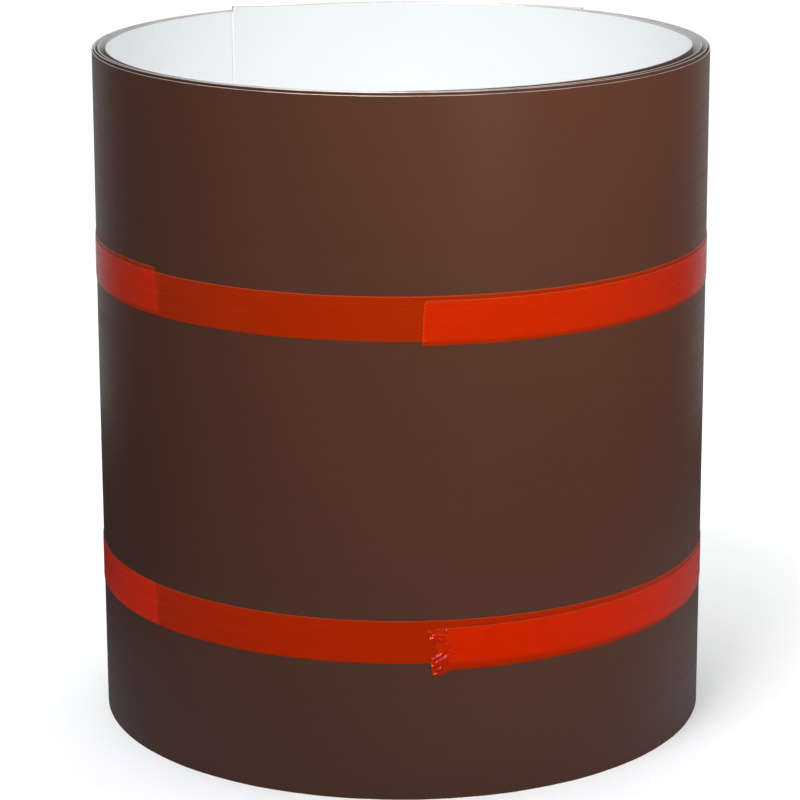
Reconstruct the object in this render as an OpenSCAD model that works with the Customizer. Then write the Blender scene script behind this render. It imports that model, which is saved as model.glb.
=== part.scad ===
// A roll of thin painted sheet metal, standing on its cut edge, held shut by two tapes.
// The strip spirals outwards clockwise, seen from above. The roll stands on z = 0 around
// the Z axis, and its front is towards -Y. Angles are counted from the front towards +X.

/* [Strip] */
// Width of the strip, which is the height of the roll
strip_width = 254; // [200:1:400]
// Thickness of the metal core
core_t = 0.43; // [0.3:0.01:0.48]
// Thickness of each paint film
paint_t = 0.025; // [0.01:0.005:0.04]
// Bare metal left along each slit edge, where the shear broke the paint away
bare_margin = 0.15; // [0.05:0.05:1]

/* [Coil] */
// Radius over the outer end of the strip
coil_r = 114.7; // [100:0.1:150]
// Whole turns of strip
whole_turns = 4; // [3:1:5]
// Angle of the inner end of the strip
inner_end = -141.5; // [-150:0.5:-130]
// Angle of the outer end of the strip
outer_end = 140; // [130:0.5:150]
// Distance from wrap to wrap where they lie tight, at the front and the back
wrap_pitch = 0.6; // [0.58:0.01:0.8]
// How far the inner wraps draw in at the sides, as a rate that grows with the square of the turns
side_slack = 0.6; // [0:0.1:0.8]
// How far the roll is pressed in at the back
back_dent = 4.5; // [0:0.1:6]
// Step up from the outermost wrap to the next, around the front
wrap_step = 1.05; // [0:0.05:2]
// Tilt of the inner wraps, as a rate that grows with the cube of the turns
wrap_tilt = 0.0175; // [0:0.0025:0.0175]
// How far the corner at the inner end stands up
inner_kick = 1.9; // [1.3:0.05:2]
// How far the corner at the outer end stands up
outer_kick = 0.6; // [0:0.1:2]

/* [Tapes] */
// Width of each tape
tape_width = 15.9; // [10:0.1:25]
// Thickness of the tape
tape_t = 0.12; // [0.1:0.01:0.2]
// Adhesive between the two laps of a tape
lap_glue = 0.02; // [0.01:0.01:0.05]
// Height of the upper tape's lower edge at its start
upper_z = 170.2; // [130:0.1:180]
// Height of the lower tape's lower edge at its start
lower_z = 51.8; // [20:0.1:100]
// How far the upper tape runs down in one turn
upper_drop = 1.6; // [0:0.1:3]
// How far the lower tape runs down in one turn
lower_drop = 0.2; // [0:0.1:3]
// How much further the lower tape dives by the end of its second lap
lower_dive = 2.7; // [0:0.1:4]

/* [Hidden] */
// Every layer has its corners at multiples of this angle, so that neighbours nest
grid = 5;
sweep = 360 * whole_turns + (360 + inner_end - outer_end);
sheet_t = core_t + 2 * paint_t;
slack_start = 1.1;
tilt_angle = 60;
dent_angle = -165;
dent_power = 3;
step_turns = 0.35;
// The inner wraps stand up at angles whose cosine is above -front_from, fully so front_span higher
front_from = 0.45;
front_span = 0.85;
// Over this angle the inner end springs out until it lies against the wrap outside it
spring_out = 60;
inner_kick_decay = 9;
outer_kick_decay = 6.5;
// Starts and ends of the two tapes, each of which goes clockwise for nearly two turns
upper_start = -48.5;
upper_end = 5;
lower_start = -50.4;
lower_end = 7.9;
// A dive begins with the second lap and grows with this power of the way through it
dive_length = 300;
dive_power = 2.5;
// Length of the ramp on which a tape climbs its own start or steps off the end of the strip
ramp = 6;

function smooth(t) = let(c = min(1, max(0, t))) c * c * (3 - 2 * c);

// Turns of strip still to come at a point that is travel degrees from the inner end
function turns_in(travel) = (sweep - travel) / 360;

// How far every layer is pressed in at an angle
function dent(angle) = back_dent * pow(max(0, cos(angle - dent_angle)), dent_power);

// Radius of the strip's outer surface
function strip_r(travel) =
    let(u = turns_in(travel), side = sin(inner_end - travel))
    let(drawn_in = u - slack_start - 1 + smooth(travel / spring_out))
    coil_r - dent(inner_end - travel) - wrap_pitch * u - side_slack * pow(max(0, drawn_in), 2) * side * side;

// Height of the strip's lower edge
function strip_z(travel) =
    let(u = turns_in(travel), risen = smooth((u - 1) / step_turns))
    let(front = smooth((cos(inner_end - travel) + front_from) / front_span))
    let(tilt = wrap_tilt * pow(u, 3) * cos(inner_end - travel - tilt_angle))
    let(kicks = inner_kick * exp(-travel / inner_kick_decay)
        + outer_kick * exp((travel - sweep) / outer_kick_decay))
    max(0, risen * front * (wrap_step + tilt) + kicks);

// Radius of the strip's outermost surface at an angle, with the tape's short bridge at the outer end
function roll_r(angle) =
    let(past = ((outer_end - angle) % 360 + 360) % 360)
    coil_r - dent(angle) - wrap_pitch * (1 - past / 360) * smooth(past / ramp);

// How far down a tape has run
function tape_fall(travel, drop, dive) =
    drop * travel / 360 + dive * pow(max(0, travel - 360) / dive_length, dive_power);

// Angles travelled from one end to the other, with a stop at every multiple of the grid
function stops(start, length) = [
    0,
    each [for (k = [floor(start / grid) : -1 : ceil((start - length) / grid)])
        if (start - k * grid > 0.01 && start - k * grid < length - 0.01) start - k * grid],
    length
];

// A band swept around the roll. Each ring is [angle, inner radius, outer radius, low z, high z].
module band(rings) {
    n = len(rings);
    points = [for (q = rings) for (p = [[q[1], q[3]], [q[2], q[3]], [q[2], q[4]], [q[1], q[4]]])
        [p[0] * sin(q[0]), -p[0] * cos(q[0]), p[1]]];
    sides = [for (i = [0 : n - 2]) for (j = [0 : 3])
        [4 * i + j, 4 * i + (j + 1) % 4, 4 * i + 4 + (j + 1) % 4, 4 * i + 4 + j]];
    ends = [[3, 2, 1, 0], [4 * n - 4, 4 * n - 3, 4 * n - 2, 4 * n - 1]];
    polyhedron(points, concat(sides, ends), convexity = 10);
}

// One layer of the strip, between two depths under its outer surface
module strip_layer(depth_in, depth_out, margin) {
    band([for (travel = stops(inner_end, sweep))
        [inner_end - travel,
         strip_r(travel) - depth_in,
         strip_r(travel) - depth_out,
         strip_z(travel) + margin,
         strip_z(travel) + strip_width - margin]]);
}

// One tape: a first lap on the roll and a second on the first
module tape(start, end, low_z, drop, dive) {
    length = 720 + start - end;
    band([for (travel = stops(start, length))
        let(r = roll_r(start - travel) + (tape_t + lap_glue) * smooth((travel - 360 + ramp) / ramp))
        let(z = low_z - tape_fall(travel, drop, dive))
        [start - travel, r, r + tape_t, z, z + tape_width]]);
}

module aluminium_strip() {
    color("silver") strip_layer(sheet_t - paint_t, paint_t, 0);
}

module brown_outer_coat() {
    color([0.35, 0.21, 0.18]) strip_layer(paint_t, 0, bare_margin);
}

module white_inner_coat() {
    color([0.94, 0.95, 0.95]) strip_layer(sheet_t, sheet_t - paint_t, bare_margin);
}

module upper_tape() {
    color([0.8, 0.14, 0.02]) tape(upper_start, upper_end, upper_z, upper_drop, 0);
}

module lower_tape() {
    color([0.8, 0.14, 0.02]) tape(lower_start, lower_end, lower_z, lower_drop, lower_dive);
}

aluminium_strip();
brown_outer_coat();
white_inner_coat();
upper_tape();
lower_tape();
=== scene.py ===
"""A roll of painted aluminium flashing, standing on its cut edge, with two bands of orange film tape.

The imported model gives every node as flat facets. Here each is built again as a smooth mesh on
the same spiral: the metal with its sheared edges, the two paint films that stop just short of
them, and the tapes with their cut and torn ends, their creases and the step from lap to lap.
Lengths are in millimetres until place() turns them into the frame's metres. Angles are in
degrees from the front, towards +X. Travel is degrees clockwise from a piece's own start.
"""

import math

import bpy
import numpy as np
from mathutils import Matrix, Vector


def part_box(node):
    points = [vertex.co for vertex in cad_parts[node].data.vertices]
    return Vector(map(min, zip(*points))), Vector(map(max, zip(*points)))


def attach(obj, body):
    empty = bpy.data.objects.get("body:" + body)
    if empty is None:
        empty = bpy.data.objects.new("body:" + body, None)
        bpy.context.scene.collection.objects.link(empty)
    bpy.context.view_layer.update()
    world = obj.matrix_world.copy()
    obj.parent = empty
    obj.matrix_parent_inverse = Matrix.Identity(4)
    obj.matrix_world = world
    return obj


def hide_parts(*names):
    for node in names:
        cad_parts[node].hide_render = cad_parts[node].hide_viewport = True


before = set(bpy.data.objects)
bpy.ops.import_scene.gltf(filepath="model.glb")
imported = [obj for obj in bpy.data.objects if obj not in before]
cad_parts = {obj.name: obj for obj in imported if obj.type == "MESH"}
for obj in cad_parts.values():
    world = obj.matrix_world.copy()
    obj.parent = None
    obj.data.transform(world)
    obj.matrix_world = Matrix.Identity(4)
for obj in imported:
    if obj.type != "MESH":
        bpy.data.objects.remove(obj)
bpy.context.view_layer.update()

MM = 0.001


def box_mm(node):
    """Lowest and highest corners of a CAD node, in millimetres."""
    low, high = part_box(node)
    return np.array(low) / MM, np.array(high) / MM


# ---- The strip's spiral, as in the CAD model -------------------------------------------------

CORE_T = 0.43
PAINT_T = 0.025
SHEET_T = CORE_T + 2 * PAINT_T
BARE_MARGIN = 0.15
INNER_END = -141.5
OUTER_END = 140.0
WHOLE_TURNS = 4
SWEEP = 360.0 * WHOLE_TURNS + 360.0 + INNER_END - OUTER_END
WRAP_PITCH = 0.6
SIDE_SLACK = 0.6
SLACK_START = 1.1
WRAP_STEP = 1.05
WRAP_TILT = 0.0175
TILT_ANGLE = 60.0
STEP_TURNS = 0.35
BACK_DENT, DENT_ANGLE, DENT_POWER = 4.5, -165.0, 3
FRONT_FROM, FRONT_SPAN = 0.45, 0.85
SPRING_OUT = 60.0
INNER_KICK, INNER_KICK_DECAY = 1.9, 9.0
OUTER_KICK, OUTER_KICK_DECAY = 0.6, 6.5


def smooth(t):
    """0 before 0, 1 after 1, and a soft step between."""
    c = np.clip(t, 0.0, 1.0)
    return c * c * (3.0 - 2.0 * c)


def turns_in(travel):
    """Turns of strip still to come."""
    return (SWEEP - travel) / 360.0


def dent(angle):
    """How far every layer is pressed in at an angle."""
    return BACK_DENT * np.maximum(0.0, np.cos(np.radians(angle - DENT_ANGLE))) ** DENT_POWER


def strip_inset(travel):
    """How far the strip's outer surface lies inside the radius at its outer end."""
    u = turns_in(travel)
    side = np.sin(np.radians(INNER_END - travel))
    drawn_in = u - SLACK_START - 1.0 + smooth(travel / SPRING_OUT)
    return WRAP_PITCH * u + SIDE_SLACK * np.maximum(0.0, drawn_in) ** 2 * side**2


def strip_rise(travel):
    """Height of the strip's lower edge."""
    u = turns_in(travel)
    risen = smooth((u - 1.0) / STEP_TURNS)
    front = smooth((np.cos(np.radians(INNER_END - travel)) + FRONT_FROM) / FRONT_SPAN)
    tilt = WRAP_TILT * u**3 * np.cos(np.radians(INNER_END - travel - TILT_ANGLE))
    kicks = INNER_KICK * np.exp(-travel / INNER_KICK_DECAY)
    kicks = kicks + OUTER_KICK * np.exp((travel - SWEEP) / OUTER_KICK_DECAY)
    return np.maximum(0.0, risen * front * (WRAP_STEP + tilt) + kicks)


RING_STEP = 1.5
strip_travel = np.arange(0.0, SWEEP + RING_STEP / 2, RING_STEP)
core_low, core_high = box_mm("aluminium_strip")
STRIP_WIDTH = core_high[2] - core_low[2] - strip_rise(strip_travel).max()
# The widest point towards +X is on the last wrap, at 90 degrees
brown_high = box_mm("brown_outer_coat")[1]
RIGHT_TRAVEL = SWEEP - 360.0 + (OUTER_END - 90.0)
COIL_R = brown_high[0] + strip_inset(RIGHT_TRAVEL)


# How far the roll bellies out below its top edge, over which height, and how far it draws in at the edge
BELLY, BELLY_SPAN, EDGE_DRAW = 0.36, 130.0, 0.05
LONG_WAVE, SHORT_WAVE = 0.05, 0.025


def hand_wave(angle, height):
    """The dent and unevenness of a hand-rolled strip, the same for all that lies on it."""
    a = np.radians(angle)
    long_wave = LONG_WAVE * np.sin(2 * a + 0.6) * np.cos(height / 74.0 + 0.4)
    short_wave = SHORT_WAVE * np.sin(5 * a + height / 38.0)
    belly = BELLY * smooth((STRIP_WIDTH - height) / BELLY_SPAN) - EDGE_DRAW
    return belly + long_wave + short_wave - dent(angle)


def roll_radius(angle):
    """Radius of the roll's outermost surface, with a film's straight bridge past the strip's end."""
    past = np.mod(OUTER_END - angle, 360.0)
    under = COIL_R - WRAP_PITCH * (1.0 - past / 360.0)
    landing = math.degrees(math.acos(1.0 - WRAP_PITCH / COIL_R))
    low = COIL_R - WRAP_PITCH * (1.0 - landing / 360.0)
    reach = np.clip(landing - past, 0.0, landing)
    return np.maximum(under, low / np.cos(np.radians(reach)))


# ---- Meshes ----------------------------------------------------------------------------------


def place(angle, radius, height):
    """Points in the frame, in metres."""
    a = np.radians(angle)
    return np.stack([radius * np.sin(a), -radius * np.cos(a), height], axis=-1) * MM


def grid_faces(rows, columns, offset, flip):
    """Quads of a grid whose points run along columns first."""
    i, j = np.meshgrid(np.arange(rows - 1), np.arange(columns - 1), indexing="ij")
    a = offset + i * columns + j
    quads = np.stack([a, a + 1, a + columns + 1, a + columns], axis=-1).reshape(-1, 4)
    return quads[:, ::-1] if flip else quads


def rim_faces(rows, columns, offset):
    """Quads that close the gap between two grids along all four borders."""
    top = np.arange(columns)
    right = np.arange(1, rows) * columns + columns - 1
    bottom = (rows - 1) * columns + np.arange(columns - 2, -1, -1)
    left = np.arange(rows - 2, -1, -1) * columns
    loop = np.concatenate([top, right, bottom, left])
    a, b = loop[:-1], loop[1:]
    return np.stack([b, a, a + offset, b + offset], axis=-1)


def shell(name, outside, inside, material, ribbon=None):
    """A closed thin sheet between two grids of points. ribbon is a vector kept at each point."""
    rows, columns = outside.shape[:2]
    count = rows * columns
    points = np.concatenate([outside.reshape(-1, 3), inside.reshape(-1, 3)])
    faces = np.concatenate([
        grid_faces(rows, columns, 0, False),
        grid_faces(rows, columns, count, True),
        rim_faces(rows, columns, count),
    ])
    mesh = bpy.data.meshes.new(name)
    mesh.from_pydata(points.tolist(), [], faces.tolist())
    mesh.shade_smooth()
    mesh.set_sharp_from_angle(angle=math.radians(50))
    if ribbon is not None:
        layer = mesh.attributes.new("ribbon", "FLOAT_VECTOR", "POINT")
        values = np.concatenate([ribbon.reshape(-1, 3)] * 2)
        layer.data.foreach_set("vector", values.astype(np.float32).ravel())
    mesh.validate()
    mesh.materials.append(material)
    piece = bpy.data.objects.new(name, mesh)
    bpy.context.scene.collection.objects.link(piece)
    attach(piece, "root")
    return piece


# ---- The strip: metal core and two paint films -----------------------------------------------

CHAMFER = 0.06
END_BARE = 0.08
BODY_ROWS = 9


def strip_sheet(travel, rows, insets):
    """Grid of points on the strip: rows are heights above its lower edge, insets are depths."""
    angle = (INNER_END - travel)[:, None]
    height = strip_rise(travel)[:, None] + rows
    radius = COIL_R - strip_inset(travel)[:, None] - insets
    return place(angle + 0 * height, radius + hand_wave(angle, height), height)


def ragged(travel, size):
    """A small uneven run along an edge, as a shear leaves it."""
    t = np.radians(travel)
    return size * (0.5 * np.sin(23 * t) + 0.3 * np.sin(61 * t + 1.3) + 0.2 * np.sin(149 * t + 0.4))


def aluminium_core(material):
    """The metal, bare along its slit edges, with the corners that the shear rolled over."""
    body = np.linspace(CHAMFER, STRIP_WIDTH - CHAMFER, BODY_ROWS)
    rows = np.concatenate([[0.0], body, [STRIP_WIDTH]])
    corner = np.zeros(len(rows))
    corner[[0, -1]] = CHAMFER
    outside = strip_sheet(strip_travel, rows, PAINT_T + corner)
    inside = strip_sheet(strip_travel, rows, SHEET_T - PAINT_T - corner)
    return shell("aluminium_strip_sheared", outside, inside, material)


def paint_film(name, depth, material):
    """A paint film, with its outer face at a depth under the strip's outer surface."""
    travel = strip_travel.copy()
    travel[0] += END_BARE
    travel[-1] -= END_BARE
    margin = (BARE_MARGIN + ragged(travel, 0.06))[:, None]
    rows = margin + (STRIP_WIDTH - 2 * margin) * np.linspace(0.0, 1.0, BODY_ROWS)
    outside = strip_sheet(travel, rows, depth)
    inside = strip_sheet(travel, rows, depth + PAINT_T)
    return shell(name, outside, inside, material)


# ---- The tapes -------------------------------------------------------------------------------

TAPE_WIDTH = 15.9
TAPE_T = 0.12
LAP_GLUE = 0.02
SEAT_GAP = 0.01
CLIMB = 1.2
DRAPE = 0.7
DIVE_LENGTH, DIVE_POWER = 300.0, 2.5
END_ZONE = 7.0
ROW_STEP = 0.3
EDGE_ROW = 0.1
MM_PER_DEGREE = math.radians(1.0) * COIL_R
# Start and end angle of each tape, how far it runs down in a turn, and how much further it dives
UPPER_COURSE = (-48.5, 5.0, 1.6, 0.0)
LOWER_COURSE = (-50.4, 7.9, 0.2, 2.7)
# The painted highlight along a tape's end, a pale scalloped fringe: how far it reaches and how fast it
# waves across
END_HIGHLIGHT_REACH, END_HIGHLIGHT_WAVE = 0.7, 4.3
# Two laps look doubled from this far under the first lap's edge, and fully so this much higher
DOUBLED_FROM, DOUBLED_SPAN = 1.3, 2.0
# The torn end is painted with shade for this far from its tip, darker towards one lap's colour, and the
# shade fades over this much more
END_SHADE_LENGTH, END_SHADE_SPAN = 4.0, 5.0


def tape_rows():
    """Heights of the points across a tape, with one row close to each edge."""
    inner = np.linspace(EDGE_ROW, TAPE_WIDTH - EDGE_ROW, int(TAPE_WIDTH / ROW_STEP))
    return np.concatenate([[0.0], inner, [TAPE_WIDTH]])


def tape_columns(start, length):
    """Travel of the points along a tape: on the strip's own rings, and finer where it has detail."""
    first = math.ceil((start - length - INNER_END) / RING_STEP)
    last = math.floor((start - INNER_END) / RING_STEP)
    rings = start - (INNER_END + RING_STEP * np.arange(first, last + 1))
    fine = [np.arange(0.0, END_ZONE, 0.15), np.arange(length - END_ZONE, length, 0.09)]
    fine.append(np.arange(360.0 - 2 * CLIMB, 360.0 + END_ZONE, 0.2))
    tail = np.mod(start - OUTER_END, 360.0)
    for lap_tail in (tail, tail + 360.0):
        fine.append(lap_tail + np.arange(-0.3, 6.6, 0.3))
    every = np.unique(np.round(np.concatenate([rings, *fine]), 3))
    every = every[(every > 0.04) & (every < length - 0.04)]
    kept = every[np.concatenate([[True], np.diff(every) > 0.04])]
    return np.concatenate([[0.0], kept, [length]])


def crease_lift(creases, angle, across):
    """Height of the creases over the film.

    A crease is a short ridge: angle and height across the tape where it starts, the same where
    it ends, its width and how far it stands up.
    """
    lift = np.zeros(angle.shape)
    for start_angle, start_across, end_angle, end_across, width, height in creases:
        run = (end_angle - start_angle) * MM_PER_DEGREE
        climb = end_across - start_across
        along = (angle - start_angle) * MM_PER_DEGREE
        up = across - start_across
        share = np.clip((along * run + up * climb) / (run * run + climb * climb), 0.0, 1.0)
        gap = np.hypot(along - share * run, up - share * climb)
        lift = np.maximum(lift, height * np.exp(-((gap / width) ** 2)))
    return lift


def lap_look(painted_end_shade_strength, second_lap, over_first, to_end, across):
    """What the material shows at a point: 0 for one lap, 1 for two, less where a torn end is painted with
    shade, and up to 1 more for a painted highlight along the end.

    second_lap is whether the point is past the tape's start, over_first its height over the first
    lap's lower edge, and to_end how far the end is.
    """
    # Painted shade on a torn end: it takes away part of the two laps' brighter colour
    painted_end_shade = painted_end_shade_strength * (1.0 - smooth((to_end - END_SHADE_LENGTH) / END_SHADE_SPAN))
    doubling_less_end_shade = smooth((over_first + DOUBLED_FROM) / DOUBLED_SPAN) * (1.0 - painted_end_shade)
    # Painted highlight: a pale scalloped fringe along the end
    painted_end_highlight = (1.0 - smooth(to_end / END_HIGHLIGHT_REACH)) * (0.5 + 0.5 * np.sin(across * END_HIGHLIGHT_WAVE))
    return second_lap * doubling_less_end_shade + painted_end_highlight


def tape(name, node, course, shape, material):
    """One tape: a lap on the roll and most of another on the first, on its course.

    shape gives what its ends look like: start_cut and end_cut are how far each end is moved
    clockwise at a height across the tape, sag is how far the end hangs down, and creases
    are its ridges, which lie on the second lap. Its last entry is the painted shade on the end,
    from 0 to 1: how far it darkens the end towards one lap's colour.
    """
    start, end, drop, dive = course
    length = 720.0 + start - end
    start_low = box_mm(node)[1][2] - TAPE_WIDTH
    nominal = tape_columns(start, length)[:, None]
    across = tape_rows()[None, :]
    near_start = 1.0 - smooth(nominal / END_ZONE)
    near_end = smooth((nominal - length + END_ZONE) / END_ZONE)
    start_cut = shape["start_cut"](across)
    travel = nominal + near_start * start_cut + near_end * shape["end_cut"](across)
    angle = start - travel
    fall = drop * travel / 360.0 + dive * (np.maximum(0.0, travel - 360.0) / DIVE_LENGTH) ** DIVE_POWER
    height = start_low - fall + across - shape["sag"](travel - length, across)
    over_first = height - (start_low - drop * (travel - 360.0) / 360.0)
    over_start = smooth((travel - 360.0 - start_cut + CLIMB) / CLIMB)
    second = over_start * smooth((over_first + DRAPE) / DRAPE)
    lift = crease_lift(shape["creases"], np.mod(angle + 180.0, 360.0) - 180.0, across)
    lift = lift * smooth((travel - 360.0 + CLIMB) / CLIMB)
    base = roll_radius(angle) + hand_wave(angle, height) + SEAT_GAP
    base = base + second * (TAPE_T + LAP_GLUE) + lift
    outside = place(angle, base + TAPE_T, height)
    inside = place(angle, base, height)
    to_end = (length + shape["end_cut"](across) - travel) * MM_PER_DEGREE
    # The look carries the laps, the painted shade on a torn end and the painted highlight along the end
    look = lap_look(shape["painted_end_shade"], travel > 360.0 + start_cut, over_first, to_end, across)
    ribbon = np.stack([travel * MM_PER_DEGREE, across + 0 * travel, look], axis=-1)
    piece = shell(name, outside, inside, material, ribbon)
    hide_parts(node)
    return piece


def no_sag(past_end, across):
    """The end lies flat."""
    return 0.0 * past_end


def upper_shape():
    """Cut a little askew at both ends, with a scalloped edge, and creased where it covers its start."""
    def start_cut(across):
        return 1.1 * across / TAPE_WIDTH + 0.08 * np.sin(across * 2.1)

    def end_cut(across):
        slant = 0.5 + 1.05 * np.maximum(0.0, 1.0 - across / TAPE_WIDTH) ** 0.25
        scallops = 0.05 * np.sin(across * 2.7 + 0.8) + 0.03 * np.sin(across * 6.1)
        corner = 0.15 * np.exp(-((across / 1.6) ** 2))
        return slant + scallops + corner

    creases = [
        (-57.2, 15.4, -56.3, 15.9, 0.45, 0.22),
        (-55.4, 16.0, -53.3, 14.2, 0.35, 0.3),
        (-54.1, 15.9, -52.6, 14.6, 0.3, 0.22),
        (-50.9, 15.9, -50.2, 15.0, 0.35, 0.22),
        (3.3, 0.2, 3.9, 1.2, 0.6, 0.4),
        (4.1, 8.2, 11.5, 8.4, 0.28, 0.05),
        (4.0, 6.0, 7.5, 6.1, 0.25, 0.04),
        (3.9, 3.2, 8.2, 3.3, 0.25, 0.05),
        (12.0, 12.5, 14.5, 13.1, 0.6, 0.06),
    ]
    return {"start_cut": start_cut, "end_cut": end_cut, "sag": no_sag, "painted_end_shade": 0.0, "creases": creases}


# The lower tape's torn end, as heights across the tape: a lower tongue, a notch and an upper tongue
LOWER_TONGUE_TOP = 6.6
UPPER_TONGUE_BASE = 11.3
UPPER_TONGUE_TOP = 15.5
TEAR = 0.35


def lower_shape():
    """Torn off by hand at the outer end, which leaves two crumpled tongues and a shallow notch between."""
    def start_cut(across):
        return 0.3 + 0.9 * across / TAPE_WIDTH

    def end_cut(across):
        lower = 1.0 - smooth((across - LOWER_TONGUE_TOP) / TEAR + 0.5)
        upper = smooth((across - UPPER_TONGUE_BASE) / TEAR + 0.5)
        upper = upper * (1.0 - smooth((across - UPPER_TONGUE_TOP) / TEAR + 0.5))
        lower_tip = 2.45 + 0.5 * np.sin(across * 0.35) + 0.05 * np.sin(across * 7.1)
        upper_tip = 2.95 + 0.13 * (across - UPPER_TONGUE_BASE) + 0.06 * np.sin(across * 8.3)
        ragged_root = 1.9 + 0.3 * np.sin(across * 2.0 + 1.0) + 0.1 * np.sin(across * 9.0)
        return ragged_root * (1.0 - lower - upper) + lower * lower_tip + upper * upper_tip

    def sag(past_end, across):
        reach = smooth((past_end + 1.6) / 4.2)
        hang = 2.2 - 0.15 * np.minimum(across, 7.0)
        return hang * reach * (1.0 - smooth((across - 7.5) / 3.0))

    creases = [
        (4.5, 14.7, 4.9, 14.4, 0.4, 0.7),
        (4.6, 12.0, 5.5, 12.7, 0.45, 0.8),
        (5.3, 13.6, 7.3, 13.4, 0.35, 0.55),
        (6.5, 12.0, 6.9, 11.6, 0.4, 0.7),
        (7.6, 15.0, 8.0, 14.6, 0.4, 0.5),
        (7.2, 9.9, 8.4, 9.9, 0.35, 0.45),
        (5.0, 6.0, 6.8, 7.0, 0.35, 0.8),
        (5.9, 4.9, 7.7, 5.9, 0.35, 0.8),
        (5.1, 3.6, 6.0, 4.1, 0.4, 0.7),
        (6.1, 2.2, 6.7, 2.5, 0.45, 0.8),
        (5.3, 0.7, 6.1, 1.1, 0.4, 0.6),
        (8.2, 7.6, 8.5, 7.0, 0.4, 0.6),
        (8.5, 5.6, 8.9, 5.0, 0.4, 0.6),
        (7.9, 0.6, 8.3, 4.6, 0.45, 0.45),
    ]
    # The torn end carries painted shade, 0.4 of the way from two laps' colour towards one lap's
    return {"start_cut": start_cut, "end_cut": end_cut, "sag": sag, "painted_end_shade": 0.4, "creases": creases}


# ---- Materials -------------------------------------------------------------------------------


class Shader:
    """A Principled material and the few node helpers that the finishes share."""

    def __init__(self, name):
        self.material = bpy.data.materials.new(name)
        self.material.use_nodes = True
        self.nodes = self.material.node_tree.nodes
        self.links = self.material.node_tree.links
        self.bsdf = self.nodes["Principled BSDF"]

    def set(self, **values):
        """Constant values, on the shader's own sockets. An underscore stands for a space."""
        for key, value in values.items():
            self.bsdf.inputs[key.replace("_", " ")].default_value = value

    def drive(self, socket, output):
        self.links.new(output, self.bsdf.inputs[socket])

    def object_point(self, stretch):
        """The point on the object in metres, multiplied along each axis."""
        point = self.nodes.new("ShaderNodeTexCoord").outputs["Object"]
        return self.scaled(point, stretch)

    def scaled(self, vector, stretch):
        node = self.nodes.new("ShaderNodeVectorMath")
        node.operation = "MULTIPLY"
        node.inputs[1].default_value = stretch
        self.links.new(vector, node.inputs[0])
        return node.outputs[0]

    def noise(self, vector, scale, detail=3.0):
        node = self.nodes.new("ShaderNodeTexNoise")
        node.inputs["Scale"].default_value = scale
        node.inputs["Detail"].default_value = detail
        self.links.new(vector, node.inputs["Vector"])
        return node.outputs["Fac"]

    def calc(self, operation, a, b=0.0):
        """One Math node. a and b are outputs or numbers."""
        node = self.nodes.new("ShaderNodeMath")
        node.operation = operation
        for socket, value in zip(node.inputs, (a, b)):
            if isinstance(value, (int, float)):
                socket.default_value = value
            else:
                self.links.new(value, socket)
        return node.outputs[0]

    def spread(self, value, low, high, from_low=0.25, from_high=0.75):
        """value, from its own range to low..high."""
        node = self.nodes.new("ShaderNodeMapRange")
        settings = {"From Min": from_low, "From Max": from_high, "To Min": low, "To Max": high}
        for key, number in settings.items():
            node.inputs[key].default_value = number
        self.links.new(value, node.inputs["Value"])
        return node.outputs["Result"]

    def mix(self, factor, a, b):
        """Colour a, turning to b as factor goes from 0 to 1."""
        node = self.nodes.new("ShaderNodeMix")
        node.data_type = "RGBA"
        self.links.new(factor, node.inputs["Factor"])
        for key, colour in (("A", a), ("B", b)):
            socket = [s for s in node.inputs if s.name == key and s.type == "RGBA"][0]
            if isinstance(colour, tuple):
                socket.default_value = (*colour, 1.0)
            else:
                self.links.new(colour, socket)
        return [s for s in node.outputs if s.type == "RGBA"][0]

    def bump(self, height, strength, distance):
        node = self.nodes.new("ShaderNodeBump")
        node.inputs["Strength"].default_value = strength
        node.inputs["Distance"].default_value = distance
        self.links.new(height, node.inputs["Height"])
        self.links.new(node.outputs["Normal"], self.bsdf.inputs["Normal"])


def enamel(name, dark, light, roughness, ior):
    """Coil-coated paint: soft clouds, fine speckle, faint rolling lines and orange peel."""
    s = Shader(name)
    point = s.object_point((1.0, 1.0, 1.0))
    clouds = s.noise(point, 14.0)
    speckle = s.noise(point, 900.0, 1.0)
    rolling = s.noise(s.object_point((3.0, 3.0, 420.0)), 1.0, 4.0)
    tone = s.calc("ADD", s.calc("MULTIPLY", clouds, 0.4), s.calc("MULTIPLY", speckle, 0.35))
    tone = s.calc("ADD", tone, s.calc("MULTIPLY", rolling, 0.25))
    s.drive("Base Color", s.mix(s.spread(tone, 0.0, 1.0, 0.3, 0.7), dark, light))
    s.drive("Roughness", s.spread(rolling, roughness - 0.03, roughness + 0.04))
    s.bump(s.noise(point, 480.0, 2.0), 0.12, 0.00003)
    s.set(IOR=ior)
    return s.material


def sheared_aluminium():
    """Metal with the fine streaks of the shears: dull along the slit edges, paler on the cut ends."""
    s = Shader("sheared_aluminium")
    grain = s.noise(s.object_point((700.0, 700.0, 2600.0)), 1.0, 3.0)
    parts = s.nodes.new("ShaderNodeSeparateXYZ")
    s.links.new(s.object_point((1.0, 1.0, 1.0)), parts.inputs[0])
    slit_from, slit_full = (STRIP_WIDTH - 0.6) * MM, (STRIP_WIDTH - 0.1) * MM
    slit = s.spread(parts.outputs["Z"], 0.0, 1.0, slit_from, slit_full)
    dulled = s.mix(grain, (0.44, 0.4, 0.38), (0.68, 0.63, 0.61))
    bright = s.mix(grain, (0.78, 0.79, 0.8), (0.84, 0.85, 0.86))
    s.drive("Base Color", s.mix(slit, bright, dulled))
    s.drive("Metallic", slit)
    s.drive("Roughness", s.spread(grain, 0.35, 0.5))
    s.bump(grain, 0.2, 0.00002)
    return s.material


# Film colours: one lap and its darker draw lines, then two laps and their darker smudges
FILM_COLOURS = [
    (0.225, 0.0095, 0.0002), (0.205, 0.0085, 0.0002),
    (0.345, 0.0095, 0.0002), (0.31, 0.0085, 0.0002),
]
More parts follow.
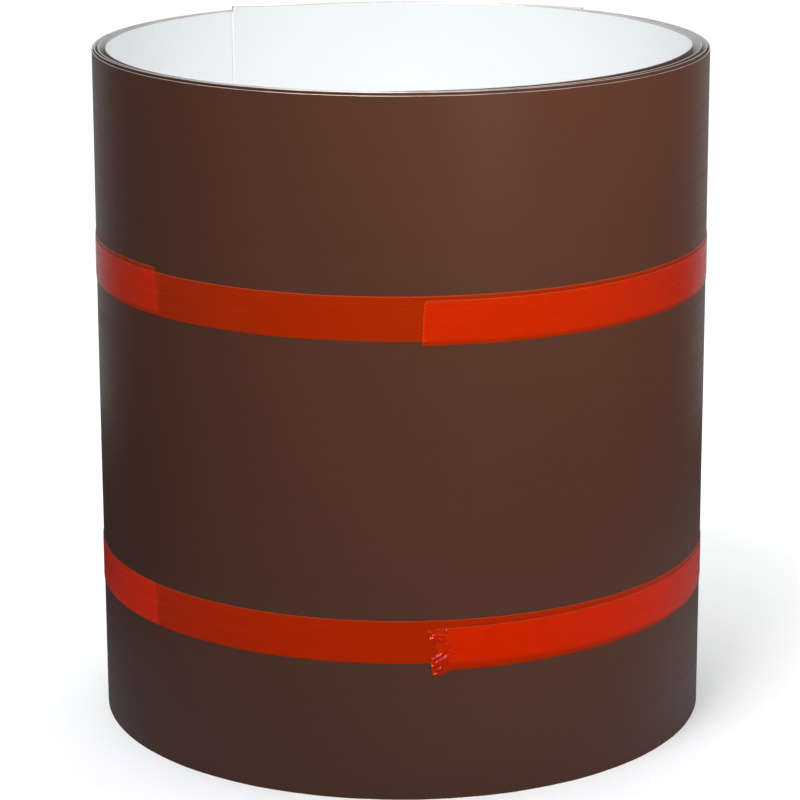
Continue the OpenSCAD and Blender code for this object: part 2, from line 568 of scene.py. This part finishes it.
# Painted light on a tape's long edges: a painted highlight along the top edge, painted shade along the
# bottom edge
TOP_EDGE_HIGHLIGHT, BOTTOM_EDGE_SHADE = (0.22, 0.035, 0.012), (0.12, 0.012, 0.002)
# Painted highlight along a tape's end
END_HIGHLIGHT_COLOUR = (0.42, 0.05, 0.014)


def orange_film(name, strength):
    """Glossy film: deeper where one lap shows the brown through it, brighter on two laps. Its colour also
    carries painted light: a painted highlight along the top edge and the end, painted shade along the
    bottom edge and on a torn end.
    """
    single_lap, single_dark, double_lap, double_dark = [
        (strength * red, green, blue) for red, green, blue in FILM_COLOURS
    ]
    s = Shader(name)
    attribute = s.nodes.new("ShaderNodeAttribute")
    attribute.attribute_name = "ribbon"
    ribbon = attribute.outputs["Vector"]
    parts = s.nodes.new("ShaderNodeSeparateXYZ")
    s.links.new(ribbon, parts.inputs[0])
    across, laps_and_painted_end_light = parts.outputs["Y"], parts.outputs["Z"]
    draw_lines = s.noise(s.scaled(ribbon, (0.03, 1.9, 0.0)), 1.0, 3.0)
    smudges = s.noise(s.scaled(ribbon, (0.16, 0.3, 0.0)), 1.0, 2.0)
    single = s.mix(s.spread(draw_lines, 0.0, 1.0), single_dark, single_lap)
    double = s.mix(s.spread(smudges, 0.0, 1.0), double_dark, double_lap)
    film = s.mix(s.spread(laps_and_painted_end_light, 0.0, 1.0, 0.0, 1.0), single, double)
    # Painted highlight along the tape's end, where the look goes past 1
    film = s.mix(s.spread(laps_and_painted_end_light, 0.0, 0.6, 1.0, 2.0), film, END_HIGHLIGHT_COLOUR)
    to_top = s.calc("SUBTRACT", TAPE_WIDTH, across)
    # Painted highlight along the top edge, painted shade along the bottom edge
    film = s.mix(s.spread(to_top, 0.7, 0.0, 0.15, 0.5), film, TOP_EDGE_HIGHLIGHT)
    film = s.mix(s.spread(across, 0.5, 0.0, 0.1, 0.9), film, BOTTOM_EDGE_SHADE)
    s.drive("Base Color", film)
    s.drive("Roughness", s.spread(draw_lines, 0.2, 0.3))
    s.bump(draw_lines, 0.15, 0.00004)
    s.set(IOR=1.22, Specular_Tint=(1.0, 0.45, 0.05, 1.0))
    return s.material


# ---- Stage -----------------------------------------------------------------------------------


def softbox(name, azimuth, elevation, distance, size, power, aim, spread):
    """A square light with a grid, aimed at a height on the roll's axis. Azimuth is from the front."""
    data = bpy.data.lights.new(name, "AREA")
    data.size = size
    data.energy = power
    data.spread = math.radians(spread)
    lamp = bpy.data.objects.new(name, data)
    a, e = math.radians(azimuth), math.radians(elevation)
    out = distance * math.cos(e)
    lamp.location = (out * math.sin(a), -out * math.cos(a), aim + distance * math.sin(e))
    lamp.rotation_euler = (math.pi / 2 - e, 0.0, a)
    lamp.visible_camera = False
    bpy.context.scene.collection.objects.link(lamp)
    return lamp


def pale_floor():
    """A wide paper floor at the level that the roll stands on."""
    half = 30.0
    corners = [(-half, -half, 0.0), (half, -half, 0.0), (half, half, 0.0), (-half, half, 0.0)]
    mesh = bpy.data.meshes.new("floor")
    mesh.from_pydata(corners, [], [(0, 1, 2, 3)])
    s = Shader("paper")
    fibre = s.noise(s.object_point((1.0, 1.0, 1.0)), 60.0)
    s.drive("Base Color", s.mix(fibre, (0.9, 0.9, 0.9), (0.93, 0.93, 0.93)))
    s.set(Roughness=0.9)
    mesh.materials.append(s.material)
    floor = bpy.data.objects.new("floor", mesh)
    bpy.context.scene.collection.objects.link(floor)
    floor.visible_glossy = False


def floor_glow():
    """What the roll mirrors of the paper close by: a disc that only reflections see, fading outwards. Its
    colour is a painted reflection of the lit paper, lighter towards the right and front.
    """
    reach, sides = 0.35, 48
    rim = COIL_R * MM + reach
    turns = [2 * math.pi * k / sides for k in range(sides)]
    corners = [(rim * math.cos(t), rim * math.sin(t), 0.0005) for t in turns]
    mesh = bpy.data.meshes.new("floor_glow")
    mesh.from_pydata(corners, [], [tuple(range(sides))])
    s = Shader("paper_glow")
    length = s.nodes.new("ShaderNodeVectorMath")
    length.operation = "LENGTH"
    s.links.new(s.object_point((1.0, 1.0, 0.0)), length.inputs[0])
    fade = s.spread(length.outputs["Value"], 1.0, 0.0, COIL_R * MM, rim)
    parts = s.nodes.new("ShaderNodeSeparateXYZ")
    # Painted reflection of the lit paper: lighter towards the right and front, darker towards the left and
    # back
    s.links.new(s.object_point((3.3, -5.6, 0.0)), parts.inputs[0])
    towards = s.calc("ADD", parts.outputs["X"], parts.outputs["Y"])
    share = s.calc("MULTIPLY", fade, s.spread(towards, 0.0, 1.0, -1.4, 1.6))
    s.drive("Base Color", s.mix(share, (0.03, 0.03, 0.03), (0.48, 0.51, 0.54)))
    s.set(Roughness=1.0, IOR=1.0)
    mesh.materials.append(s.material)
    glow = bpy.data.objects.new("floor_glow", mesh)
    bpy.context.scene.collection.objects.link(glow)
    glow.visible_camera = False
    glow.visible_diffuse = False
    glow.visible_shadow = False
    glow.visible_transmission = False


# Radiance of the sky in front, behind and overhead
SKY_FRONT, SKY_BEHIND, SKY_ABOVE = 0.1, 0.55, 1.6
SKY_COLOUR = (0.98, 1.0, 1.0, 1.0)


def studio_sky():
    """White all round for the eye. As light, bright overhead, and near the horizon only behind the roll."""
    world = bpy.data.worlds.new("studio")
    bpy.context.scene.world = world
    world.use_nodes = True
    nodes, links = world.node_tree.nodes, world.node_tree.links

    def math_node(operation, a, b):
        node = nodes.new("ShaderNodeMath")
        node.operation = operation
        links.new(a, node.inputs[0])
        links.new(b, node.inputs[1])
        return node.outputs[0]

    def ramp(value, start, end, low, high):
        node = nodes.new("ShaderNodeMapRange")
        node.interpolation_type = "SMOOTHSTEP"
        for socket, number in zip(list(node.inputs)[1:5], (start, end, low, high)):
            socket.default_value = number
        links.new(value, node.inputs["Value"])
        return node.outputs["Result"]

    direction = nodes.new("ShaderNodeSeparateXYZ")
    links.new(nodes.new("ShaderNodeTexCoord").outputs["Generated"], direction.inputs[0])
    back, up = direction.outputs[1:]
    glow_behind = ramp(back, 0.55, 1.05, SKY_FRONT, SKY_BEHIND)
    overhead = ramp(up, 0.35, 0.8, 0.0, SKY_ABOVE)
    level = math_node("ADD", glow_behind, overhead)
    seen = nodes.new("ShaderNodeLightPath").outputs["Is Camera Ray"]
    strength = math_node("MAXIMUM", level, seen)
    background = nodes["Background"]
    background.inputs["Color"].default_value = SKY_COLOUR
    links.new(strength, background.inputs["Strength"])


# Where the camera stands, in radii of the roll, and how far it looks down and leans
EYE = (-0.0065, -10.296, 3.8165)
PITCH, LEAN = math.radians(15.197), 0.0023


def camera():
    """A long lens in front of the roll, looking 15 degrees down on it."""
    data = bpy.data.cameras.new("camera")
    data.lens = 144.09
    data.sensor_width = 36.0
    data.clip_end = 100.0
    eye = bpy.data.objects.new("camera", data)
    eye.location = [along * COIL_R * MM for along in EYE]
    eye.rotation_euler = (math.pi / 2 - PITCH, LEAN * math.cos(PITCH), -LEAN * math.sin(PITCH))
    bpy.context.scene.collection.objects.link(eye)
    bpy.context.scene.camera = eye


# Darker and lighter clouds of each enamel
BROWN = (0.0455, 0.0149, 0.0079), (0.0515, 0.0169, 0.0089)
WHITE = (0.80, 0.82, 0.83), (0.82, 0.84, 0.85)


def build():
    """All the pieces: the metal and its brown film, the white film, and the two tapes."""
    metal = aluminium_core(sheared_aluminium())
    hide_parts("aluminium_strip")
    brown = enamel("brown_enamel", *BROWN, roughness=0.36, ior=1.4)
    outer = paint_film("brown_film_outer", 0.0, brown)
    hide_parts("brown_outer_coat")
    white = enamel("white_enamel", *WHITE, roughness=0.4, ior=1.4)
    inner = paint_film("white_film_inner", SHEET_T - PAINT_T, white)
    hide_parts("white_inner_coat")
    film = orange_film("orange_film_upper", 0.825)
    upper = tape("upper_tape_film", "upper_tape", UPPER_COURSE, upper_shape(), film)
    film = orange_film("orange_film_lower", 1.11)
    lower = tape("lower_tape_film", "lower_tape", LOWER_COURSE, lower_shape(), film)
    return [metal, outer], [inner], [upper, lower]


def light_only(lamp, pieces):
    """Flags: the lamp reaches these pieces and nothing else."""
    lit = bpy.data.collections.new(lamp.name + "_reaches")
    for piece in pieces:
        lit.objects.link(piece)
    lamp.light_linking.receiver_collection = lit


# The orange film mirrors this as the pinkish white of a crease
GLINT_COLOUR = (0.15, 0.13, 1.0)


def stage(sheet, inside, tapes):
    """Paper floor, sky and lights: keys and fill, one for the inside, and glints for the film's creases."""
    pale_floor()
    floor_glow()
    studio_sky()
    keys = (("key", 30.0, sheet), ("tape_key", 15.0, tapes))
    for name, azimuth, pieces in keys:
        key = softbox(name, azimuth, 0.0, distance=1.0, size=0.45, power=1.65, aim=0.36, spread=45.0)
        key.visible_glossy = False
        light_only(key, pieces)
    softbox("fill", -25.0, 55.0, distance=0.8, size=0.35, power=0.55, aim=0.34, spread=50.0)
    inner = softbox("inner", 42.0, 60.0, distance=0.8, size=0.7, power=1.35, aim=0.22, spread=120.0)
    light_only(inner, inside)
    glints = (("glint", -12.0, 50.0, 0.14), ("glint_left", -64.0, 45.0, 0.24))
    for name, azimuth, elevation, aim in glints:
        glint = softbox(name, azimuth, elevation, distance=0.8, size=0.12, power=24.0, aim=aim, spread=60.0)
        glint.data.color = GLINT_COLOUR
        glint.visible_diffuse = False
        light_only(glint, tapes)
    bpy.context.scene.view_settings.view_transform = "Standard"


stage(*build())
camera()
